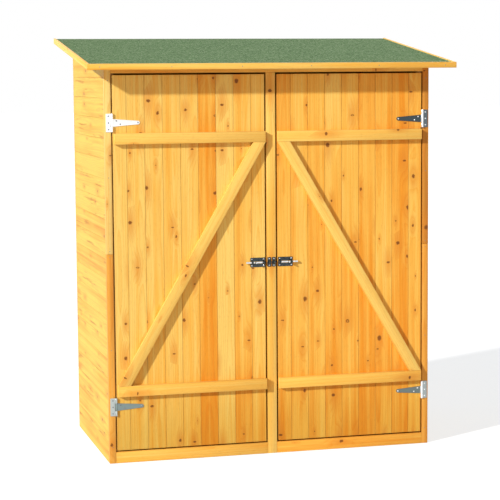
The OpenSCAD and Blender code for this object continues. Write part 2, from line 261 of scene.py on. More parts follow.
@dataclass(frozen=True)
class WoodFinish:
    """Stained softwood with rings, streaks, fibres and knots that follow each board, with painted shade towards
    the foot of the doors, and darker seams that are partly stain and partly painted shade.
    """

    name: str
    slot: str
    pale: Colour
    middle: Colour
    deep: Colour
    ring_spacing: float = 0.0056
    ring_strength: float = 0.56
    ring_stain: Colour = (0.93, 0.70, 0.38)
    ring_bend: float = 0.030
    ring_taper: float = 0.006
    ring_detour: float = 0.011
    streak: float = 0.92
    knot_share: float = 0.62
    knot_radius: float = 0.0100
    knots_per_metre: tuple[float, float] = (6.4, 16.0)
    open_knots_above: float = 0.84
    knot_rag: float = 0.0068
    knot_strength: float = 0.90
    halo_reach: float = 3.4
    halo_strength: float = 0.58
    knot_stain: Colour = (0.19, 0.060, 0.012)
    halo_stain: Colour = (0.74, 0.27, 0.030)
    roughness: float = 0.50
    fibre: float = 0.11
    pore_stain: Colour = (0.42, 0.16, 0.03)
    pore_strength: float = 0.30
    # How far the stain deepens towards the foot of the boards: partly stain, partly painted shade of the grass
    foot_stain: float = 0.0
    # How much painted shade darkens the boards towards their foot, where grass shades them
    foot_grime: float = 0.0
    grime: Colour = (0.66, 0.62, 0.36)
    # Darkening along each arris and end of a board: partly stain, partly painted shade in the seams
    seam_shade_and_stain: float = 0.26
    seam_shade_and_stain_colour: Colour = (0.40, 0.20, 0.035)
    flecks: float = 0.0
    fleck_stain: Colour = (0.50, 0.20, 0.022)
    end_share: float = 0.35
    relief: tuple[float, float] = (0.55, 0.0005)
    shine: float = 0.20

    def knots(self, graph: NodeGraph, grain: Socket) -> tuple[Socket, Socket]:
        """Scatters knots over the boards.

        Args:
            graph: Material that is being laid out.
            grain: Place in the board.

        Returns:
            How far each point is into a knot, and into the halo round it.
        """
        spot = graph.vector("MULTIPLY", grain, (*self.knots_per_metre, 0.0))
        cell = graph.add("TexVoronoi", {"Vector": spot, "Scale": 1.0}, voronoi_dimensions="2D")
        away = graph.vector("SUBTRACT", cell.outputs["Position"], spot)
        along, across, _ = graph.split(graph.vector("DIVIDE", away, (*self.knots_per_metre, 1.0)))
        luck, shape, kind = graph.split(cell.outputs["Color"])
        there = graph.math("LESS_THAN", luck, self.knot_share)
        share = graph.math("DIVIDE", luck, self.knot_share)
        radius = graph.line(share, self.knot_radius * 0.75, self.knot_radius * 0.25)
        oval = graph.line(graph.math("POWER", shape, 2.0), 1.9, 0.75)
        distance = graph.length(graph.times(along, oval), across)
        ragged = graph.sway(graph.noise(grain, KNOT_EDGES), self.knot_rag, distance)
        inner = graph.times(radius, 0.45)
        whole = graph.fade(ragged, radius, inner)
        eye = graph.times(graph.fade(ragged, inner, graph.times(inner, 0.5)), 0.72)
        open_eye = graph.times(eye, graph.math("GREATER_THAN", kind, self.open_knots_above))
        core = graph.times(graph.math("SUBTRACT", whole, open_eye), there)
        drawn_out = graph.length(graph.times(along, 0.30), across)
        halo = graph.times(graph.fade(drawn_out, graph.times(radius, self.halo_reach), 0.0), there)
        return core, halo

    def rings(self, graph: NodeGraph, grain: Socket, halo: Socket) -> Socket:
        """Year rings, as the saw cut through them.

        Args:
            graph: Material that is being laid out.
            grain: Place in the board, measured from the heart of the tree.
            halo: How near a knot is.

        Returns:
            How dark the ring is, from 0 to 1.
        """
        along, across, depth = graph.split(grain)
        out = graph.line(graph.noise(grain, RING_BENDS), self.ring_bend, graph.length(across, depth))
        out = graph.line(along, self.ring_taper, out)
        out = graph.line(halo, self.ring_detour, out)
        turn = graph.math("FRACT", graph.math("DIVIDE", out, self.ring_spacing))
        steps = ((0.0, 0.0), (0.45, 0.10), (0.84, 0.75), (0.93, 1.0), (1.0, 0.0))
        return graph.split(graph.ramp(turn, [(place, (grey,) * 3) for place, grey in steps]))[0]

    def edges(self, graph: NodeGraph) -> Socket:
        """How close each point is to a long arris or an end of its board.

        Args:
            graph: Material that is being laid out.

        Returns:
            1 at an arris, less at an end, and 0 away from both.
        """
        place = graph.split(graph.vector("ABSOLUTE", graph.mark("place"), (0, 0, 0)))
        half = graph.split(graph.mark("half"))
        ends = graph.fade(graph.math("SUBTRACT", half[0], place[0]), 0.012, 0.0)
        sides = graph.fade(graph.math("SUBTRACT", half[1], place[1]), 0.0030, 0.0006)
        return graph.math("MAXIMUM", sides, graph.times(ends, self.end_share))

    def material(self) -> Material:
        """Makes the wood as a material.

        Returns:
            The material.
        """
        graph = NodeGraph(bpy.data.materials.new(self.name))
        grain = graph.mark("grain")
        core, halo = self.knots(graph, grain)
        ring = self.rings(graph, grain, halo)
        fibres = graph.noise(grain, FIBRES)
        drift = graph.add("Attribute", attribute_name="tone").outputs["Fac"]
        drift = graph.sway(graph.noise(grain, STREAKS, 3.0), self.streak * 1.7, drift)
        drift = graph.sway(graph.noise(grain, CLOUDS), self.streak * 1.1, drift)
        # Deeper stain towards the foot: partly stain, partly painted shade of the grass
        if self.foot_stain:
            low_down = graph.fade(graph.split(graph.where())[2], 0.85, 0.05)
            drift = graph.line(low_down, self.foot_stain, drift)
        drift = graph.math("ADD", drift, 0.0, clamp=True)
        colour = graph.ramp(drift, ((0.0, self.pale), (0.5, self.middle), (1.0, self.deep)))
        colour = graph.mix(graph.times(ring, self.ring_strength), colour, self.ring_stain, "MULTIPLY")
        brush = graph.sway(fibres, self.fibre * 2.4, 1.0)
        brushed = graph.add("CombineXYZ", {axis: brush for axis in range(3)}).outputs[0]
        colour = graph.mix(1.0, colour, brushed, "MULTIPLY")
        pores = graph.fade(graph.noise(grain, PORES, 0.0), 0.66, 0.80)
        stains = [
            (pores, self.pore_strength, self.pore_stain),
            (halo, self.halo_strength, self.halo_stain),
            (core, self.knot_strength, self.knot_stain),
        ]
        if self.flecks:
            marks = graph.fade(graph.noise(grain, FLECKS, 5.0), 0.55, 0.67)
            marks = graph.times(marks, graph.fade(graph.noise(grain, FLECK_GROUPS), 0.50, 0.62))
            stains.insert(1, (marks, self.flecks, self.fleck_stain))
        for share, strength, stain in stains:
            colour = graph.mix(graph.times(share, strength), colour, stain)
        # Painted shade: the boards are darkened towards their foot, standing in for the grass's shade
        if self.foot_grime:
            low_down = graph.fade(graph.split(graph.where())[2], 0.42, 0.02)
            colour = graph.mix(graph.times(low_down, self.foot_grime), colour, self.grime, "MULTIPLY")
        # Darker along the arrises and ends: partly stain, partly painted shade in the seams
        colour = graph.mix(graph.times(self.edges(graph), self.seam_shade_and_stain), colour, self.seam_shade_and_stain_colour)
        gloss = graph.line(graph.math("ADD", ring, core), -0.07, self.roughness)
        gloss = graph.line(fibres, 0.10, gloss)
        height = graph.line(ring, 0.45, graph.times(fibres, 0.55))
        height = graph.line(core, -0.7, height)
        return graph.surface(colour, gloss, height, self.relief, {"Specular IOR Level": self.shine})


@dataclass(frozen=True)
class FeltFinish:
    """Bitumen felt under a coat of green mineral grit."""

    name: str = "green_mineral_felt"
    slot: str = "roof_felt"
    grit: Colour = (0.110, 0.212, 0.096)
    dark_grit: Colour = (0.045, 0.098, 0.044)
    light_grit: Colour = (0.26, 0.38, 0.24)
    grains_per_metre: float = 620.0
    roughness: float = 0.93
    relief: tuple[float, float] = (0.7, 0.0010)
    shine: float = 0.12

    def material(self) -> Material:
        """Makes the felt as a material.

        Returns:
            The material.
        """
        graph = NodeGraph(bpy.data.materials.new(self.name))
        where = graph.where()
        grains = graph.add("TexVoronoi", {"Vector": where, "Scale": self.grains_per_metre})
        clumps = graph.noise(where, GRIT_CLUMPS, 3.0)
        mixed = graph.sway(clumps, 2.4, graph.split(grains.outputs["Color"])[0])
        mixed = graph.sway(graph.noise(where, GRIT_PATCHES), 0.5, mixed)
        mixed = graph.sway(graph.noise(where, GRIT_BANDS, 3.0), 0.22, mixed)
        stops = ((0.0, self.dark_grit), (0.22, self.grit), (0.74, self.grit), (1.0, self.light_grit))
        colour = graph.ramp(mixed, stops)
        height = graph.math("SUBTRACT", graph.times(clumps, 0.6), grains.outputs["Distance"])
        return graph.surface(colour, self.roughness, height, self.relief, {"Specular IOR Level": self.shine})


@dataclass(frozen=True)
class ZincFinish:
    """Zinc plate with faint rolling marks and patches of another tone; on the hinges, painted reflections that
    change with height and a painted highlight down the knuckle.
    """

    name: str
    slot: str
    plate: Colour
    second_tone: Colour
    roughness: float = 0.30
    patchiness: float = 0.6
    reflection_tone_below: float = -1.0
    # Distance of the hinge pin from the middle, where a painted highlight runs down the knuckle; 0 paints none
    pin: float = 0.0
    pin_highlight: Colour = (0.95, 0.96, 0.97)
    pin_highlight_edges: tuple[float, float] = (0.0048, 0.0038)
    spangles_per_metre: float = 420.0
    relief: tuple[float, float] = (0.25, 0.0002)

    def material(self) -> Material:
        """Makes the plated metal as a material.

        Returns:
            The material.
        """
        graph = NodeGraph(bpy.data.materials.new(self.name))
        where = graph.where()
        x, _, height = graph.split(where)
        rolled = graph.noise(where, ROLLING_MARKS)
        cells = graph.add("TexVoronoi", {"Vector": where, "Scale": self.spangles_per_metre})
        spangle = graph.split(cells.outputs["Color"])[0]
        blotch = graph.fade(graph.noise(where, ZINC_BLOTCHES, 3.0), 0.40, 0.72)
        worn = graph.line(spangle, 0.30, blotch)
        # Painted reflection: below a height the lower hinges take the second tone
        low_down = graph.fade(height, self.reflection_tone_below + 0.2, self.reflection_tone_below)
        share = graph.math("ADD", low_down, graph.times(worn, self.patchiness), clamp=True)
        colour = graph.mix(share, self.plate, self.second_tone)
        # Painted highlight: a bright stripe down the knuckle, where light catches it
        if self.pin:
            off_pin = graph.math("SUBTRACT", graph.math("ABSOLUTE", x), self.pin)
            painted_highlight = graph.fade(graph.math("ABSOLUTE", off_pin), *self.pin_highlight_edges)
            colour = graph.mix(painted_highlight, colour, self.pin_highlight)
        rough = graph.line(worn, 0.14, self.roughness)
        return graph.surface(colour, rough, rolled, self.relief, {"Metallic": 1.0})


@dataclass
class Coat:
    """A finish and the material made from it."""

    finish: WoodFinish | FeltFinish | ZincFinish
    material: Material = field(init=False)

    def __post_init__(self) -> None:
        """Makes the material once."""
        self.material = self.finish.material()


@dataclass(frozen=True)
class Cut:
    """A flat saw cut, with a normal that points at what it may take off."""

    point: Vector
    normal: Vector

    def score(self, bm: Mesh, clear: bool = False) -> list[bmesh.types.BMEdge]:
        """Divides the faces of a mesh along the cut.

        Args:
            bm: Mesh to divide.
            clear: Whether what lies beyond the cut is taken off.

        Returns:
            The edges that lie in the cut.
        """
        found = bmesh.ops.bisect_plane(
            bm, geom=[*bm.verts, *bm.edges, *bm.faces], dist=1e-7, plane_co=self.point, plane_no=self.normal,
            clear_outer=clear,
        )
        return [edge for edge in found["geom_cut"] if isinstance(edge, bmesh.types.BMEdge)]

    def apply(self, bm: Mesh) -> None:
        """Saws through a closed solid and closes it again.

        Args:
            bm: Solid in the shed's own frame.
        """
        rim = [edge for edge in self.score(bm, clear=True) if edge.is_boundary]
        if rim:
            bmesh.ops.edgeloop_fill(bm, edges=rim)


def plane_off(bm: Mesh, edges: Sequence[bmesh.types.BMEdge], width: float, segments: int) -> None:
    """Bevels some edges of a solid.

    Args:
        bm: Solid to work on.
        edges: Edges to bevel.
        width: Width taken off each edge, in metres.
        segments: Steps in the round; one gives a plain chamfer.
    """
    bmesh.ops.bevel(
        bm, geom=edges, offset=width, offset_type="OFFSET", segments=segments, profile=0.5,
        affect="EDGES", clamp_overlap=True, material=-1,
    )


def bends(edge: bmesh.types.BMEdge, degrees: float) -> bool:
    """Whether two faces meet at an edge at more than an angle."""
    return edge.is_manifold and edge.calc_face_angle(0.0) > math.radians(degrees)


def shade(bm: Mesh, from_degrees: float = 35.0) -> None:
    """Shades a mesh smooth, with its corners kept crisp.

    Args:
        bm: Mesh to shade.
        from_degrees: Edges that bend more than this stay sharp.
    """
    for face in bm.faces:
        face.smooth = True
    for edge in bm.edges:
        edge.smooth = not bends(edge, from_degrees)


def box_mesh(size: Vector, middle: Sequence[float] = (0, 0, 0)) -> Mesh:
    """Makes a square-edged block.

    Args:
        size: Its size along each axis.
        middle: Where its middle is.

    Returns:
        The block.
    """
    bm = bmesh.new()
    bmesh.ops.create_cube(bm, size=1.0)
    bmesh.ops.scale(bm, vec=size, verts=bm.verts)
    bmesh.ops.translate(bm, vec=middle, verts=bm.verts)
    return bm


def pour(part: Mesh, whole: Mesh) -> None:
    """Adds one mesh to another.

    Args:
        part: Mesh to add; it is used up.
        whole: Mesh that it is added to.
    """
    shell = bpy.data.meshes.new("shell")
    part.to_mesh(shell)
    part.free()
    whole.from_mesh(shell)
    bpy.data.meshes.remove(shell)


def install(bm: Mesh, name: str, coat: Coat, body: str, node: str = "") -> None:
    """Turns a mesh into a piece of the shed.

    Args:
        bm: Mesh in the shed's own frame; it is used up.
        name: Name of the piece.
        coat: What it is finished in.
        body: Body that it moves with.
        node: CAD node that it stands for, if any.
    """
    mesh = bpy.data.meshes.new(name)
    bm.to_mesh(mesh)
    bm.free()
    mesh.materials.append(coat.material)
    piece = bpy.data.objects.new(name, mesh)
    bpy.context.scene.collection.objects.link(piece)
    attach(piece, body)
    if node:
        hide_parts(node)
    LOG.info("%s: %d faces on %s", name, len(mesh.polygons), body)


@dataclass
class RoofSlope:
    """The sloping plane that the roof lies on."""

    deck: float = 0.012
    front: float = field(init=False)
    front_height: float = field(init=False)
    rise: float = field(init=False)

    def __post_init__(self) -> None:
        """Reads the plane from the roof deck's box."""
        low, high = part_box("roof_deck")
        self.front, self.front_height = low.y, low.z
        self.rise = (high.z - self.deck - low.z) / (high.y - low.y)

    def height(self, y: float) -> float:
        """Height of the underside of the roof at a distance back."""
        return self.front_height + self.rise * (y - self.front)

    def out(self) -> Vector:
        """Direction that the roof looks in."""
        return Vector((0, -self.rise, 1)).normalized()

    def cut(self) -> Cut:
        """Cut that takes the top of a piece down to the roof."""
        return Cut(Vector((0, self.front, self.front_height)), self.out())

    def lean(self) -> Matrix:
        """Lean that carries a box of heights over the soffit onto the slope.

        Returns:
            The lean.
        """
        lean = Matrix.Identity(4)
        lean[2][1] = self.rise
        lean[2][3] = self.height(0.0)
        return lean


@dataclass
class Board:
    """One board, centred on its own length, width and thickness."""

    lie: Matrix
    size: Vector
    tone: float = 0.3
    arris: float = 0.0008
    segments: int = 2
    cuts: tuple[Cut, ...] = ()

    def build(self, luck: random.Random) -> Mesh:
        """Saws the board and marks its grain.

        Args:
            luck: Source of where in the log the board was sawn.

        Returns:
            The board as a mesh.
        """
        bm = box_mesh(self.size)
        bmesh.ops.transform(bm, matrix=self.lie, verts=bm.verts)
        for cut in self.cuts:
            cut.apply(bm)
        if self.arris and bm.faces:
            plane_off(bm, [edge for edge in bm.edges if bends(edge, 25.0)], self.arris, self.segments)
        bmesh.ops.recalc_face_normals(bm, faces=bm.faces)
        self.mark(bm, luck)
        shade(bm)
        return bm

    def mark(self, bm: Mesh, luck: random.Random) -> None:
        """Writes the grain of the board on its points.

        Args:
            bm: The sawn board.
            luck: Source of where in the log it was sawn.
        """
        log_place = Vector((luck.uniform(0.0, 40.0), luck.uniform(-0.035, 0.035), luck.uniform(0.018, 0.060)))
        back = self.lie.inverted()
        grain, place, half, tone = Timberwork.layers(bm)
        for vert in bm.verts:
            local = back @ vert.co
            vert[grain] = local + log_place
            vert[place] = local
            vert[half] = self.size / 2
            vert[tone] = self.tone


@dataclass
class Timberwork:
    """Gathers boards into one piece, which stands for the node of its own name."""

    name: str
    seed: int
    boards: list[Board] = field(default_factory=list)

    @staticmethod
    def layers(bm: Mesh) -> list[Any]:
        """Gives the points of a mesh room for a board's grain, place, half size and tone."""
        vectors = [bm.verts.layers.float_vector.new(name) for name in ("grain", "place", "half")]
        return [*vectors, bm.verts.layers.float.new("tone")]

    def add(
        self, low: Sequence[float], high: Sequence[float], along: Axis, flat: Axis,
        lean: Matrix | None = None, roof: RoofSlope | None = None, **looks: Any
    ) -> None:
        """Adds a board that fills a box.

        Args:
            low: Lowest corner.
            high: Highest corner.
            along: Direction of its grain.
            flat: Direction that its broad face looks in.
            lean: Lean that the box is given afterwards.
            roof: Roof that its top is cut to.
            looks: The other fields of the board.
        """
        low, high = Vector(low), Vector(high)
        if roof:
            high.z += OVERRUN
            looks["cuts"] = (roof.cut(),)
        length, thick = along.value, flat.value
        width = thick.cross(length)
        lie = Matrix((length, width, thick)).transposed().to_4x4()
        lie.translation = (low + high) / 2
        size = Vector(abs((high - low).dot(way)) for way in (length, width, thick))
        self.boards.append(Board((lean or Matrix.Identity(4)) @ lie, size, **looks))

    def fit(self, coat: Coat, body: str = "shed") -> None:
        """Makes the piece.

        Args:
            coat: What it is finished in.
            body: Body that it moves with.
        """
        luck = random.Random(self.seed)
        whole = bmesh.new()
        self.layers(whole)
        for board in self.boards:
            pour(board.build(luck), whole)
        install(whole, self.name, coat, body, self.name)


def fill(node: str, coat: Coat, seed: int, along: Axis, flat: Axis, body: str = "shed", **looks: Any) -> None:
    """Makes a piece of a single board, in the box of its node.

    Args:
        node: CAD node it stands for.
        coat: What it is finished in.
        seed: Where in the log it comes from.
        along: Direction of its grain.
        flat: Direction that its broad face looks in.
        body: Body that it moves with.
        looks: Its roof, and the other fields of the board.
    """
    work = Timberwork(node, seed)
    work.add(*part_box(node), along, flat, **looks)
    work.fit(coat, body)


HONEY = dict(pale=(0.95, 0.680, 0.180), middle=(0.945, 0.555, 0.098), deep=(0.87, 0.360, 0.032))
SAWN = dict(
    pale=(0.82, 0.63, 0.31), middle=(0.77, 0.53, 0.22), deep=(0.64, 0.38, 0.12), fibre=0.16, roughness=0.62
)
YELLOW = dict(pale=(0.735, 0.560, 0.100), middle=(0.745, 0.435, 0.060), deep=(0.60, 0.23, 0.022))
TAN = dict(pale=(0.94, 0.72, 0.24), middle=(0.92, 0.63, 0.18), deep=(0.84, 0.44, 0.085))
ORANGE = dict(pale=(0.88, 0.475, 0.090), middle=(0.76, 0.355, 0.055), deep=(0.56, 0.235, 0.035))
# Painted reflections: the same zinc is given one tone on the upper hinges and another on the lower ones
REFLECTIONS_BY_HEIGHT = dict(patchiness=0.06, reflection_tone_below=0.6)


class Finishes:
    """Every finish of the shed."""

    def __init__(self) -> None:
        """Mixes the stains and the metals."""
        # The door boards get deeper stain and painted shade towards their foot
        self.door = self.wood("honey_door_boards", "door_wood", HONEY, foot_stain=0.20, foot_grime=0.62)
        quiet = dict(knot_share=0.50, ring_strength=0.34, streak=0.50)
        self.ledge = self.wood("honey_ledges", "ledge_wood", HONEY, **quiet)
        lively = dict(knot_share=0.30, knot_radius=0.0085, streak=1.25, seam_shade_and_stain=0.10, flecks=0.85)
        self.wall = self.wood("yellow_wall_boards", "wall_wood", YELLOW, **lively)
        self.pale_post = self.wood("tan_post", "pale_post", TAN, knot_share=0.3)
        self.orange_post = self.wood("orange_post", "orange_post", ORANGE)
        self.centre = self.wood("honey_centre_post", "centre_post_wood", HONEY, knot_share=0.28)
        self.rail = self.wood("honey_rails", "rail_wood", HONEY, knot_share=0.28)
        self.trim = self.wood("honey_trim", "trim_wood", HONEY, knot_share=0.22, ring_strength=0.22)
        self.framing = self.wood("sawn_framing", "framing_wood", SAWN)
        self.floor = self.wood("sawn_floor", "floor_wood", SAWN)
        self.deck = self.wood("sawn_roof_deck", "deck_wood", SAWN)
        pin = reach("right_hinge_straps")[1] - KNUCKLE_RADIUS
        # Painted reflections: the same zinc is white on the upper left hinge, dark on the upper right one and
        # grey below, with the straps mostly darker than the leaves
        self.leaves = {
            Side.LEFT: self.hinge("bright_zinc_leaves", (0.96, 0.97, 0.97), (0.49, 0.54, 0.52)),
            Side.RIGHT: self.hinge("grey_zinc_leaves", (0.125, 0.150, 0.165), (0.36, 0.40, 0.40), pin),
        }
        self.straps = {
            Side.LEFT: self.hinge("bright_zinc_straps", (0.96, 0.98, 0.96), (0.245, 0.31, 0.30)),
            Side.RIGHT: self.hinge("grey_zinc_straps", (0.062, 0.080, 0.086), (0.165, 0.20, 0.19), pin),
        }
        dark = ((0.34, 0.34, 0.35), (0.12, 0.12, 0.13), 0.36)
        bright = ((0.92, 0.93, 0.94), (0.70, 0.72, 0.74), 0.25)
        self.hinge_screw = {
            Side.LEFT: self.zinc("dark_hinge_screws", "hinge_zinc", *dark),
            Side.RIGHT: self.zinc("bright_hinge_screws", "hinge_zinc", *bright),
        }
        # Painted reflection: the bolts and keeps are made near-black, standing in for the dark reflections on
        # their plates
        dark_reflection = ((0.066, 0.080, 0.084), (0.020, 0.025, 0.027), 0.20)
        self.bolt = self.zinc("dulled_zinc_bolts", "bolt_zinc", *dark_reflection)
        self.rod = self.zinc("bright_zinc_rods", "bolt_zinc", (0.84, 0.86, 0.87), (0.50, 0.52, 0.54), 0.18)
        self.screw = self.zinc("dark_screws", "bolt_zinc", *dark)
        self.felt = Coat(FeltFinish())

    @staticmethod
    def wood(name: str, slot: str, stain: dict[str, Any], **looks: float) -> Coat:
        """A stained wood."""
        return Coat(WoodFinish(name, slot, **stain, **looks))

    @staticmethod
    def zinc(name: str, slot: str, plate: Colour, second_tone: Colour, roughness: float) -> Coat:
        """A plating of one tone all over."""
        return Coat(ZincFinish(name, slot, plate, second_tone, roughness))

    @staticmethod
    def hinge(name: str, upper: Colour, lower: Colour, pin: float = 0.0) -> Coat:
        """A plating with painted reflections, one tone on the upper hinge and another on the lower one, and a
        painted highlight on the knuckle if a pin is given.
        """
        return Coat(ZincFinish(name, "hinge_zinc", upper, lower, pin=pin, **REFLECTIONS_BY_HEIGHT))


def seams(low: float, high: float, pitch: float, first: float | None = None) -> list[float]:
    """Places where boards meet.

    Args:
        low: Where the first board starts.
        high: Where the last board ends.
        pitch: Width of a whole board.
        first: Where the first board ends, if it isn't a whole one.

    Returns:
        The places, both ends included.
    """
    places = [low]
    place = low + pitch if first is None else first
    while place < high - pitch * 0.25:
        places.append(place)
        place += pitch
    return [*places, high]


def spaced(low: float, high: float, inset: float, count: int) -> list[float]:
    """Evenly spaced places between two ends, standing in from both."""
    return [low + inset + (high - low - 2 * inset) * step / (count - 1) for step in range(count)]


@dataclass
class NailHeads:
    """Small domed nail heads, set nearly flush."""

    radius: float = 0.0016
    proud: float = 0.0004
    around: int = 8
    turn: float = 0.0

    def head(self) -> Mesh:
        """Makes one head, which looks up.

        Returns:
            The head.
        """
        head = bmesh.new()
        bmesh.ops.create_uvsphere(head, u_segments=self.around, v_segments=4, radius=1.0)
        bmesh.ops.scale(head, vec=(self.radius, self.radius, self.proud), verts=head.verts)
        for face in head.faces:
            face.smooth = True
        return head

    def piece(self, name: str, places: Places, coat: Coat, body: str = "shed", seed: int = 5) -> None:
        """Makes a set of heads.

        Args:
            name: Name of the piece.
            places: Spots and the directions they look in.
            coat: What the heads are plated with.
            body: Body that they move with.
            seed: Source of how far each was turned.
        """
        luck = random.Random(seed)
        whole = bmesh.new()
        for spot, out in places:
            head = self.head()
            look = out.to_track_quat("Z", "Y").to_matrix().to_4x4()
            turned = Matrix.Rotation(luck.uniform(0.0, self.turn), 4, "Z")
            bmesh.ops.transform(head, matrix=Matrix.Translation(spot) @ look @ turned, verts=head.verts)
            pour(head, whole)
        install(whole, name, coat, body)


@dataclass
class CrossScrews(NailHeads):
    """Low round screw heads with a cross in each."""

    radius: float = 0.0029
    proud: float = 0.0009
    around: int = 16
    turn: float = math.pi
    slot_width: float = 0.0008
    slot_reach: float = 0.0018
    slot_depth: float = 0.0007
    taper: float = 0.80

    def head(self) -> Mesh:
        """Makes one head, which looks up, with the cross sunk into it.

        Returns:
            The head.
        """
        head = bmesh.new()
        bmesh.ops.create_cone(
            head, cap_ends=True, segments=self.around, radius1=self.radius, radius2=self.radius * self.taper,
            depth=self.proud * 1.5,
        )
        bmesh.ops.translate(head, vec=(0, 0, self.proud * 0.25), verts=head.verts)
        rim = [edge for edge in head.edges if all(abs(vert.co.z - self.proud) < 1e-6 for vert in edge.verts)]
        plane_off(head, rim, self.proud * 0.3, 1)
        half = self.slot_width / 2
        for way in (Axis.ACROSS.value, Axis.DEEP.value):
            for place in (-self.slot_reach, -half, half, self.slot_reach):
                Cut(way * place, way).score(head)
        cross = [face for face in head.faces if self.in_cross(face)]
        sunk = bmesh.ops.extrude_face_region(head, geom=cross)
        moved = [vert for vert in sunk["geom"] if isinstance(vert, bmesh.types.BMVert)]
        bmesh.ops.translate(head, vec=(0, 0, -self.slot_depth), verts=moved)
        bmesh.ops.delete(head, geom=[face for face in cross if face.is_valid], context="FACES_ONLY")
        bmesh.ops.recalc_face_normals(head, faces=head.faces)
        shade(head)
        return head

    def in_cross(self, face: bmesh.types.BMFace) -> bool:
        """Whether a face of the head lies on its top and in the cross.

        Args:
            face: Face to look at.

        Returns:
            The answer.
        """
        middle = face.calc_center_median()
        near, far = sorted((abs(middle.x), abs(middle.y)))
        on_top = face.normal.z >= 0.99 and middle.z >= self.proud * 0.9
        return on_top and near < self.slot_width / 2 and far < self.slot_reach


@dataclass
class Carpentry:
    """Part of the woodwork, with what it is finished in and the roof that it meets."""

    finishes: Finishes
    slope: RoofSlope


@dataclass
class FrontFrame(Carpentry):
    """Posts and rails round the doorway."""

    arris: float = 0.0012
    joint_nail_gap: float = 0.011
    nail_heights: tuple[float, ...] = (0.06, 0.42, 1.05, 1.40)

    def build(self) -> None:
        """Makes the posts, the rails and the nails at the post joints."""
        stain, roof = self.finishes, self.slope
        for node, coat, seed, along, tone, top in (
            ("left_post_upper", stain.pale_post, 130, Axis.UP, 0.14, roof),
            ("left_post_lower", stain.orange_post, 121, Axis.UP, 0.06, None),
            ("right_post_upper", stain.orange_post, 136, Axis.UP, 0.78, roof),
            ("right_post_lower", stain.orange_post, 127, Axis.UP, 0.50, None),
            ("centre_post", stain.centre, 31, Axis.UP, 0.20, None),
            ("front_top_rail", stain.rail, 41, Axis.ACROSS, 0.6, roof),
        ):
            fill(node, coat, seed, along, Axis.DEEP, tone=tone, arris=self.arris, roof=top)
        low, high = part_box("front_bottom_rail")
        left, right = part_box("centre_post")
        rails = Timberwork("front_bottom_rail", 43)
        rails.add(low, (left.x, high.y, high.z), Axis.ACROSS, Axis.DEEP, tone=0.55, arris=self.arris)
        rails.add((right.x, low.y, low.z), high, Axis.ACROSS, Axis.DEEP, tone=0.7, arris=self.arris)
        rails.fit(stain.rail)
        self.nails()

    def nails(self) -> None:
        """Drives the nails of the corner posts."""
        places = []
        for side in Side:
            low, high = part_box(f"{side.word}_post_lower")
            for height in (high.z - self.joint_nail_gap, high.z + self.joint_nail_gap, *self.nail_heights):
                places.append((Vector(((low.x + high.x) / 2, low.y, height)), OUT_FRONT))
        NailHeads().piece("post_nails", places, self.finishes.screw)


@dataclass
class WallBoards(Carpentry):
    """Level tongue-and-groove boards of the side walls and the back."""

    pitch: float = 0.073
    first_seam: float = 0.096
    gap: float = 0.0003
    arris: float = 0.0008
    tongue: float = 0.0045
    tongue_thickness: float = 0.004
    side_nail_inset: float = 0.014
    back_nail_inset: float = 0.026
    nail_sink: float = 0.0004
    overlong: float = 0.002
    tone_spread: tuple[float, float] = (-0.10, 0.16)
    cut_margin: float = 0.001
    tongue_margin: float = 0.004
    nail_margin: float = 0.012

    def build(self) -> None:
        """Boards up both sides and the back, and nails them."""
        # Painted light and shade: the sunlit left wall is stained paler than the shaded right wall and back
        self.wall("left_wall", Axis.ACROSS, 101, 0.14)
        self.wall("right_wall", Axis.ACROSS, 131, 0.42)
        self.wall("back_wall", Axis.DEEP, 171, 0.38)
        self.nails()

    def courses(self, low: float, high: float) -> list[float]:
        """Heights of the seams of a wall, and of its foot and head."""
        return seams(low, high + self.overlong, self.pitch, self.first_seam)

    def wall(self, node: str, flat: Axis, seed: int, tone: float) -> None:
        """Boards up one wall.

        Args:
            node: CAD node it stands for.
            flat: Direction that the wall looks in.
            seed: Source of the boards' looks.
            tone: How deep the stain is on the whole.
        """
        low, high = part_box(node)
        along = Axis.DEEP if flat is Axis.ACROSS else Axis.ACROSS
        luck = random.Random(seed)
        work = Timberwork(node, seed)
        edges = self.courses(low.z, high.z)
        eaves = self.slope.height(low.y)
        for below, above in zip(edges, edges[1:]):
            work.add(
                (low.x, low.y, below + self.gap / 2), (high.x, high.y, above - self.gap / 2), along, flat,
                tone=tone + luck.uniform(*self.tone_spread), arris=self.arris, segments=1,
                cuts=(self.slope.cut(),) if above > eaves - self.cut_margin else (),
            )
        middle = (low + high) / 2
        half = self.tongue_thickness / 2
        if flat is Axis.ACROSS:
            across, deep = half, high.y - middle.y - TONGUE_END
        else:
            across, deep = high.x - middle.x - TONGUE_END, half
        for seam in edges[1:-1]:
            if seam + self.tongue <= eaves - self.tongue_margin:
                centre, away = Vector((middle.x, middle.y, seam)), Vector((across, deep, self.tongue / 2))
                work.add(centre - away, centre + away, along, flat, tone=1.0, arris=0.0)
        work.fit(self.finishes.wall)

    def nail_rows(self, x: float, y: float, low: float, high: float, out: Vector) -> Places:
        """Nails in the middle of each board that reaches a place, one above the other.

        Args:
            x: Place across.
            y: Place from front to back.
            low: Foot of the wall.
            high: Head of the wall.
            out: Direction that the wall looks in.

        Returns:
            The nails.
        """
        edges = self.courses(low, high)
        middles = [(a + b) / 2 for a, b in zip(edges, edges[1:])]
        return [(Vector((x, y, z)), out) for z in middles if z < self.slope.height(y) - self.nail_margin]

    def nails(self) -> None:
        """Nails the boards to the corner battens."""
        places = []
        for side in Side:
            low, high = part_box(f"{side.word}_wall")
            x = low.x if side is Side.LEFT else high.x
            for y in (low.y + self.side_nail_inset, high.y - self.side_nail_inset):
                places += self.nail_rows(x, y, low.z, high.z, side.out)
        low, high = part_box("back_wall")
        for x in (low.x + self.back_nail_inset, 0.0, high.x - self.back_nail_inset):
            places += self.nail_rows(x, high.y - self.nail_sink, low.z, high.z, Axis.DEEP.value)
        NailHeads().piece("wall_nails", places, self.finishes.screw)


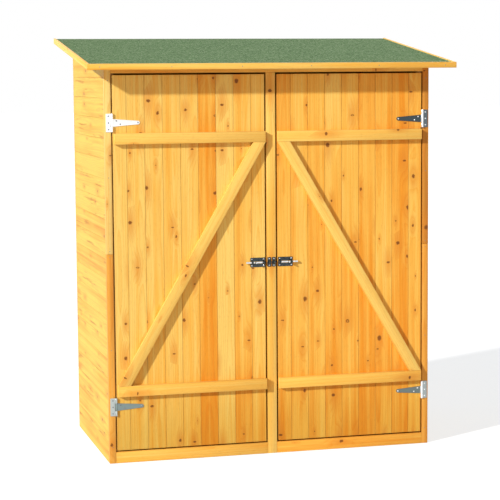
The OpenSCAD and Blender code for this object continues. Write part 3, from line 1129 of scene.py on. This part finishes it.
@dataclass
class Carcass(Carpentry):
    """Battens, joists and the rafter that carry the boards."""

    arris: float = 0.0010
    tone: float = 0.35
    width: float = field(init=False)

    def __post_init__(self) -> None:
        """Reads the width of a batten from a corner batten."""
        low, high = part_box("front_left_stud")
        self.width = high.x - low.x

    def build(self) -> None:
        """Makes every batten."""
        for number, node in enumerate(f"{end}_{side.word}_stud" for end in ("front", "back") for side in Side):
            looks = dict(tone=self.tone, arris=self.arris, roof=self.slope)
            fill(node, self.finishes.framing, 211 + number, Axis.UP, Axis.DEEP, **looks)
        self.battens("side_bottom_rails", 221, Axis.DEEP, (0.0, 1.0))
        self.battens("side_top_rails", 223, Axis.DEEP, (0.0, 1.0), leaning=True)
        self.battens("back_top_rail", 225, Axis.ACROSS, leaning=True)
        self.battens("roof_rafter", 227, Axis.DEEP, leaning=True)
        self.battens("back_bottom_rail", 229, Axis.ACROSS)
        self.battens("floor_joists", 233, Axis.DEEP, (0.0, 0.5, 1.0))

    def battens(
        self, node: str, seed: int, along: Axis, places: Sequence[float] = (), leaning: bool = False
    ) -> None:
        """Makes the level or leaning battens of one node.

        Args:
            node: CAD node they stand for.
            seed: Source of their grain.
            along: Direction they run in.
            places: Where each stands across the node, from 0 to 1; without any, one batten fills the node.
            leaning: Whether they lie under the roof.
        """
        low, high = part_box(node)
        bottom, top = (-self.width, 0.0) if leaning else (low.z, high.z)
        lefts = [low.x + (high.x - low.x - self.width) * place for place in places]
        spans = [(left, left + self.width) for left in lefts] or [(low.x, high.x)]
        work = Timberwork(node, seed)
        for left, right in spans:
            work.add(
                (left, low.y, bottom), (right, high.y, top), along, Axis.UP,
                lean=self.slope.lean() if leaning else None, tone=self.tone, arris=self.arris,
            )
        work.fit(self.finishes.framing)


@dataclass
class Floor:
    """Floor boards from side to side, shortened at the corner battens."""

    finishes: Finishes
    seed: int = 301
    tones: tuple[float, float] = (0.15, 0.6)
    pitch: float = 0.094
    gap: float = 0.0006
    arris: float = 0.0012
    nail_columns: tuple[float, ...] = (-0.29, 0.0, 0.29)
    nail_shares: tuple[float, ...] = (0.25, 0.75)

    def build(self) -> None:
        """Lays the floor and nails it."""
        low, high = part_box("floor_boards")
        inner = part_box("front_left_stud")[1]
        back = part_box("back_left_stud")[0].y
        luck = random.Random(self.seed)
        work = Timberwork("floor_boards", self.seed)
        nails = []
        edges = [low.y, inner.y, *seams(inner.y, back, self.pitch)[1:-1], back, high.y]
        for near, far in zip(edges, edges[1:]):
            short = near < inner.y - 1e-6 or far > back + 1e-6
            left = inner.x if short else low.x
            work.add(
                (left, near + self.gap / 2, low.z), (-left, far - self.gap / 2, high.z), Axis.ACROSS, Axis.UP,
                tone=luck.uniform(*self.tones), arris=self.arris,
            )
            for x in self.nail_columns:
                for share in self.nail_shares:
                    nails.append((Vector((x, near + (far - near) * share, high.z)), Axis.UP.value))
        work.fit(self.finishes.floor)
        NailHeads().piece("floor_nails", nails, self.finishes.bolt)


@dataclass
class Roof(Carpentry):
    """Boarded and felted roof with its slim trims."""

    deck_seed: int = 401
    deck_tones: tuple[float, float] = (0.1, 0.6)
    deck_arris: float = 0.0010
    board: float = 0.098
    gap: float = 0.0006
    felt: float = 0.002
    trim_under: float = -0.005
    trim_over: float = 0.016
    trim_arris: float = 0.0012
    nail_relief: float = 0.0004
    fascia_nails: tuple[float, int] = (0.045, 6)
    bargeboard_nails: tuple[float, int] = (0.04, 4)
    clouts: tuple[float, int] = (0.03, 14)
    clout_inset: float = 0.014
    clout_sink: float = 0.0003
    ripple: float = 0.0005
    ripple_waves: tuple[float, float] = (3.0, 8.0)
    ripple_seed: float = 0.7
    felt_cells: tuple[int, int] = (60, 36)

    def build(self) -> None:
        """Makes the deck, the felt, the trims and their nails."""
        self.lay_deck()
        self.lay_felt()
        self.trims()
        self.nails()

    def lay_deck(self) -> None:
        """Lays the roof boards from side to side."""
        low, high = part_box("roof_deck")
        luck = random.Random(self.deck_seed)
        work = Timberwork("roof_deck", self.deck_seed)
        edges = seams(low.y, high.y, self.board)
        for near, far in zip(edges, edges[1:]):
            work.add(
                (low.x, near + self.gap / 2, 0.0), (high.x, far - self.gap / 2, self.slope.deck), Axis.ACROSS,
                Axis.UP, self.slope.lean(), tone=luck.uniform(*self.deck_tones), arris=self.deck_arris,
            )
        work.fit(self.finishes.deck)

    def lay_felt(self) -> None:
        """Lays the felt over the deck, with faint waves in it."""
        low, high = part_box("roof_felt")
        size = Vector((high.x - low.x, high.y - low.y, self.felt))
        middle = self.slope.deck + self.felt / 2
        bm = box_mesh(size, ((low.x + high.x) / 2, (low.y + high.y) / 2, middle))
        spans = ((Axis.ACROSS.value, low.x, size.x), (Axis.DEEP.value, low.y, size.y))
        for (way, start, span), cells in zip(spans, self.felt_cells):
            for step in range(1, cells):
                Cut(way * (start + span * step / cells), way).score(bm)
        across, deep = self.ripple_waves
        for vert in bm.verts:
            if vert.co.z > middle:
                wave = noise.noise(Vector((vert.co.x * across, vert.co.y * deep, self.ripple_seed)))
                vert.co.z -= self.ripple * (0.5 + 0.5 * wave)
        bmesh.ops.transform(bm, matrix=self.slope.lean(), verts=bm.verts)
        bmesh.ops.recalc_face_normals(bm, faces=bm.faces)
        shade(bm)
        install(bm, "roof_felt_sheet", self.finishes.felt, "shed", "roof_felt")

    def trims(self) -> None:
        """Makes the trims along the front and the sloping edges, set back a little under their nails."""
        for node, seed, out, tone in (
            ("front_fascia", 411, OUT_FRONT, 0.42),
            ("left_bargeboard", 420, Side.LEFT.out, 0.15),
            ("right_bargeboard", 422, Side.RIGHT.out, 0.15),
        ):
            low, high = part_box(node)
            back = -out * self.nail_relief
            low = Vector((max(low.x, low.x + back.x), max(low.y, low.y + back.y), self.trim_under))
            high = Vector((min(high.x, high.x + back.x), min(high.y, high.y + back.y), self.trim_over))
            along, flat = (Axis.DEEP, Axis.ACROSS) if out.x else (Axis.ACROSS, Axis.DEEP)
            work = Timberwork(node, seed)
            work.add(low, high, along, flat, self.slope.lean(), tone=tone, arris=self.trim_arris)
            work.fit(self.finishes.trim)

    def nails(self) -> None:
        """Nails the trims, and the back edge of the felt."""
        middle = (self.trim_under + self.trim_over) / 2
        low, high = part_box("front_fascia")
        height = self.slope.height(low.y) + middle
        places = [
            (Vector((x, low.y + self.nail_relief, height)), OUT_FRONT)
            for x in spaced(low.x, high.x, *self.fascia_nails)
        ]
        for side in Side:
            low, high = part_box(f"{side.word}_bargeboard")
            x = low.x + self.nail_relief if side is Side.LEFT else high.x - self.nail_relief
            for y in spaced(low.y, high.y, *self.bargeboard_nails):
                places.append((Vector((x, y, self.slope.height(y) + middle)), side.out))
        NailHeads(radius=0.0019).piece("trim_nails", places, self.finishes.screw)
        low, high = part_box("roof_felt")
        y = high.y - self.clout_inset
        top = self.slope.height(y) + self.slope.deck + self.felt - self.clout_sink
        places = [(Vector((x, y, top)), self.slope.out()) for x in spaced(low.x, high.x, *self.clouts)]
        NailHeads(radius=0.0040, proud=0.0009, around=12).piece("felt_clouts", places, self.finishes.bolt)


@dataclass
class Door:
    """One boarded door with its ledges and brace."""

    finishes: Finishes
    side: Side
    tones: tuple[float, ...]
    seed: int
    hinge_board: float = 0.051
    pitch: float = 0.0663
    gap: float = 0.0004
    groove: float = 0.0010
    tongue: float = 0.0050
    tongue_thickness: float = 0.004
    arris: float = 0.0014
    ledge_tones: tuple[float, float] = (0.30, 0.38)
    brace_foot: float = 0.047
    brace_tone: float = 0.15
    brace_overrun: float = 1.1
    screw_inset: float = 0.011

    @property
    def body(self) -> str:
        """Body that the door moves as."""
        return f"{self.side.word}_door"

    @property
    def ledges(self) -> list[str]:
        """Nodes of the upper and the lower ledge."""
        return [f"{self.body}_{height}_ledge" for height in ("upper", "lower")]

    def seams(self) -> list[float]:
        """Finds where across the door its boards meet.

        Returns:
            The places from left to right, with both edges of the door.
        """
        inner, outer = reach(f"{self.body}_panel")
        between = [outer - self.hinge_board - self.pitch * number for number in range(len(self.tones) - 1)]
        return sorted(place * self.side.value for place in (outer, *between, inner))

    def build(self) -> None:
        """Makes the boards, the ledges, the brace and the screws behind them."""
        self.panel()
        for number, (node, tone) in enumerate(zip(self.ledges, self.ledge_tones), 1):
            looks = dict(tone=tone, arris=self.arris)
            fill(node, self.finishes.ledge, self.seed + number, Axis.ACROSS, Axis.DEEP, self.body, **looks)
        self.brace()
        self.screws()

    def panel(self) -> None:
        """Makes the upright tongue-and-groove boards."""
        node = f"{self.body}_panel"
        low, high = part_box(node)
        work = Timberwork(node, self.seed)
        edges = self.seams()
        for left, right, tone in zip(edges, edges[1:], self.tones):
            work.add(
                (left + self.gap / 2, low.y, low.z), (right - self.gap / 2, high.y, high.z), Axis.UP, Axis.DEEP,
                tone=tone, arris=self.groove, segments=1,
            )
        middle = (low.y + high.y) / 2
        away = Vector((self.tongue / 2, self.tongue_thickness / 2, -TONGUE_END))
        for seam in edges[1:-1]:
            foot, head = Vector((seam, middle, low.z)), Vector((seam, middle, high.z))
            work.add(foot - away, head + away, Axis.UP, Axis.DEEP, tone=1.0, arris=0.0)
        work.fit(self.finishes.door, self.body)

    def brace(self) -> None:
        """Makes the diagonal brace, cut level at both ends."""
        node = f"{self.body}_brace"
        low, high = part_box(node)
        inner, outer = reach(node)
        foot = Vector((self.side.value * (outer - self.brace_foot / 2), 0, low.z))
        head = Vector((self.side.value * (inner + self.brace_foot / 2), 0, high.z))
        run = head - foot
        length, thick = run.normalized(), Axis.DEEP.value
        lie = Matrix((length, thick.cross(length), thick)).transposed().to_4x4()
        lie.translation = (foot + head) / 2 + Vector((0, (low.y + high.y) / 2, 0))
        across = self.brace_foot * abs(run.z) / run.length
        up = Axis.UP.value
        board = Board(
            lie, Vector((run.length * self.brace_overrun, across, high.y - low.y)), tone=self.brace_tone,
            arris=self.arris, cuts=(Cut(up * low.z, -up), Cut(up * high.z, up)),
        )
        Timberwork(node, self.seed + 3, [board]).fit(self.finishes.ledge, self.body)

    def screws(self) -> None:
        """Drives the screws that hold the ledges, from inside."""
        places = []
        edges = self.seams()
        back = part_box(f"{self.body}_panel")[1].y
        for node in self.ledges:
            low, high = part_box(node)
            for number, (left, right) in enumerate(zip(edges, edges[1:])):
                z = (low.z + high.z) / 2 + (self.screw_inset if number % 2 else -self.screw_inset)
                places.append((Vector(((left + right) / 2, back, z)), Axis.DEEP.value))
        screws = CrossScrews(proud=0.0006)
        screws.piece(f"{self.body}_screws", places, self.finishes.screw, self.body, self.seed)


@dataclass
class Ironwork:
    """Hinges, bolts and keeps, with their screws."""

    finishes: Finishes
    arris: float = 0.00035
    hinge_half: float = 0.033
    hinge_metal: float = 0.002
    bolt_metal: float = 0.0015
    leaf_screw_inset: float = 0.0095
    leaf_screw_reach: float = 0.024
    strap_screws: tuple[tuple[float, float], ...] = ((0.0165, 0.0072), (0.0310, -0.0052), (0.0955, 0.0))
    bolt_screw: tuple[float, float] = (0.0225, 0.0120)
    bolt_screw_radius: float = 0.0026

    def build(self) -> None:
        """Makes the ironwork of both doors."""
        for side in Side:
            word, door = side.word, f"{side.word}_door"
            self.soft_copy(f"{word}_hinge_leaves", self.finishes.leaves[side], "shed")
            self.soft_copy(f"{word}_hinge_straps", self.finishes.straps[side], door)
            self.soft_copy(f"{word}_bolt_keep", self.finishes.bolt, "shed")
            self.soft_copy(f"{word}_bolt_plate", self.finishes.bolt, door)
            self.soft_copy(f"{word}_bolt_rod", self.finishes.rod, f"{word}_bolt")
            self.hinge_screws(side)
            self.bolt_screws(side)

    def soft_copy(self, node: str, coat: Coat, body: str) -> None:
        """Remakes a metal node with its stamped edges rounded.

        Args:
            node: CAD node it stands for.
            coat: Its plating.
            body: Body that it moves with.
        """
        bm = bmesh.new()
        bm.from_mesh(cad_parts[node].data)
        bmesh.ops.remove_doubles(bm, verts=bm.verts, dist=1e-6)
        bmesh.ops.dissolve_limit(
            bm, angle_limit=math.radians(0.5), verts=bm.verts, edges=bm.edges, use_dissolve_boundaries=False,
            delimit=set(),
        )
        plane_off(bm, [edge for edge in bm.edges if bends(edge, 40.0)], self.arris, 2)
        shade(bm, 30.0)
        install(bm, f"{node}_soft", coat, body, node)

    def on_front(self, x: float, z: float, metal: float) -> tuple[Vector, Vector]:
        """Spot on a metal plate that lies on the front of the posts and doors."""
        return Vector((x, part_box("centre_post")[0].y - metal, z)), OUT_FRONT

    def hinge_screws(self, side: Side) -> None:
        """Drives the screws of the fixed leaves and of the straps.

        Args:
            side: Side that the hinges are on.
        """
        word, coat = side.word, self.finishes.hinge_screw[side]
        low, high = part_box("left_hinge_leaves")
        heights = (low.z + self.hinge_half, high.z - self.hinge_half)
        x = side.value * (reach(f"{word}_hinge_leaves")[1] - self.leaf_screw_inset)
        steps = [z + step * self.leaf_screw_reach for z in heights for step in (-1, 0, 1)]
        places = [self.on_front(x, z, self.hinge_metal) for z in steps]
        CrossScrews().piece(f"{word}_leaf_screws", places, coat, seed=61)
        pin = reach(f"{word}_hinge_straps")[1] - KNUCKLE_RADIUS
        places = [
            self.on_front(side.value * (pin - along), z + up, self.hinge_metal)
            for z in heights for along, up in self.strap_screws
        ]
        CrossScrews().piece(f"{word}_strap_screws", places, coat, f"{word}_door", 67)

    def bolt_screws(self, side: Side) -> None:
        """Drives the screws of the bolt and of its keep.

        Args:
            side: Side that the bolt is on.
        """
        across, up = self.bolt_screw
        parts = (("plate", f"{side.word}_door", 71, (-1, 1)), ("keep", "shed", 73, (0,)))
        for part, body, seed, steps in parts:
            low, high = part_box(f"{side.word}_bolt_{part}")
            middle = (low + high) / 2
            places = [
                self.on_front(middle.x + step * across, middle.z + rise * up, self.bolt_metal)
                for step in steps for rise in (-1, 1)
            ]
            heads = CrossScrews(radius=self.bolt_screw_radius)
            heads.piece(f"{side.word}_{part}_screws", places, self.finishes.rod, body, seed)


@dataclass
class Studio:
    """Pale floor, soft light and the camera."""

    lamps: tuple[tuple[str, tuple[float, float, float], float, float], ...] = (
        ("key_lamp", (1.78, 1.0, -0.96), 3.60, 2.6),
        ("back_lamp", (-0.80, -1.0, -0.60), 1.15, 80.0),
    )
    lamp_colour: Colour = (1.0, 0.985, 0.96)
    sky: Colour = (0.480, 0.360, 0.300)
    floor_colour: Colour = (0.60, 0.60, 0.60)
    floor_lift: Colour = (0.475, 0.56, 0.61)
    floor_size: float = 60.0
    lens: float = 121.688
    film: float = 36.0
    sight: float = 200.0
    camera_place: tuple[float, float, float] = (-1.67796, -6.32503, 1.41359)
    yaw: float = 0.25908
    pitch: float = -0.10282
    roll: float = -0.00761

    def build(self) -> None:
        """Sets the scene up, with a key lamp in front, up and to the left, and a broad soft one behind."""
        for name, way, strength, angle in self.lamps:
            self.lamp(name, Vector(way), strength, angle)
        self.world()
        self.floor()
        self.camera()
        bpy.context.scene.view_settings.view_transform = "Standard"

    def place(self, name: str, data: Any, turn: Sequence[float] = (1, 0, 0, 0)) -> bpy.types.Object:
        """Puts a lamp, the camera or the floor in the scene.

        Args:
            name: Its name.
            data: Lamp, camera or mesh.
            turn: How it is turned, as a quaternion.

        Returns:
            The new object.
        """
        holder = bpy.data.objects.new(name, data)
        holder.rotation_mode = "QUATERNION"
        holder.rotation_quaternion = turn
        bpy.context.scene.collection.objects.link(holder)
        return holder

    def lamp(self, name: str, way: Vector, strength: float, angle: float) -> None:
        """Hangs one distant lamp.

        Args:
            name: Name of the lamp.
            way: Direction in which it shines.
            strength: How strongly it shines.
            angle: How broad it looks, in degrees.
        """
        data = bpy.data.lights.new(name, "SUN")
        data.energy = strength
        data.angle = math.radians(angle)
        data.color = self.lamp_colour
        self.place(name, data, way.to_track_quat("-Z", "Y"))

    def world(self) -> None:
        """Fills in the soft light, with white behind what the camera and metal see."""
        graph = NodeGraph(bpy.data.worlds.new("soft_room"))
        fill = graph.add("Background", {"Color": self.sky})
        white = graph.add("Background", {"Color": WHITE})
        both = {0: graph.background_rays(), 1: fill.outputs[0], 2: white.outputs[0]}
        bpy.context.scene.world = graph.close(graph.add("MixShader", both), "OutputWorld")

    def floor(self) -> None:
        """Lays the pale floor, which keeps the shed's shadow."""
        bm = bmesh.new()
        bmesh.ops.create_grid(bm, x_segments=2, y_segments=2, size=self.floor_size)
        mesh = bpy.data.meshes.new("pale_floor")
        bm.to_mesh(mesh)
        bm.free()
        graph = NodeGraph(bpy.data.materials.new("pale_floor"))
        matt = graph.add("BsdfDiffuse", {"Color": self.floor_colour})
        lift = graph.add("Emission", {"Color": self.floor_lift, "Strength": graph.background_rays()})
        mesh.materials.append(graph.close(graph.add("AddShader", {0: matt.outputs[0], 1: lift.outputs[0]})))
        self.place("pale_floor", mesh)

    def camera(self) -> None:
        """Sets the camera up in front, a little to the left."""
        turns = ((-self.yaw, "Z"), (math.pi / 2 + self.pitch, "X"), (self.roll, "Z"))
        heading, tilt, roll = (Matrix.Rotation(angle, 3, axis) for angle, axis in turns)
        data = bpy.data.cameras.new("camera")
        data.lens = self.lens
        data.sensor_width = self.film
        data.clip_end = self.sight
        holder = self.place("camera", data, (heading @ tilt @ roll).to_quaternion())
        holder.location = self.camera_place
        bpy.context.scene.camera = holder


# How deep the boards of each door are stained, from left to right, and the seed of its grain
DOORS = {
    Side.LEFT: ((-0.02, -0.05, 0.12, 0.20, 0.30, 0.76, -0.10, 0.38, 0.24), 501),
    Side.RIGHT: ((0.60, 0.45, 0.50, 0.50, 0.50, 0.75, 0.60, 0.80, 0.50), 541),
}


def main() -> None:
    """Builds the whole shed and its studio."""
    logging.basicConfig(level=logging.INFO, format="%(message)s")
    finishes = Finishes()
    slope = RoofSlope()
    FrontFrame(finishes, slope).build()
    WallBoards(finishes, slope).build()
    Carcass(finishes, slope).build()
    Floor(finishes).build()
    Roof(finishes, slope).build()
    for side, (tones, seed) in DOORS.items():
        Door(finishes, side, tones, seed).build()
    Ironwork(finishes).build()
    Studio().build()


if __name__ == "__main__":
    main()
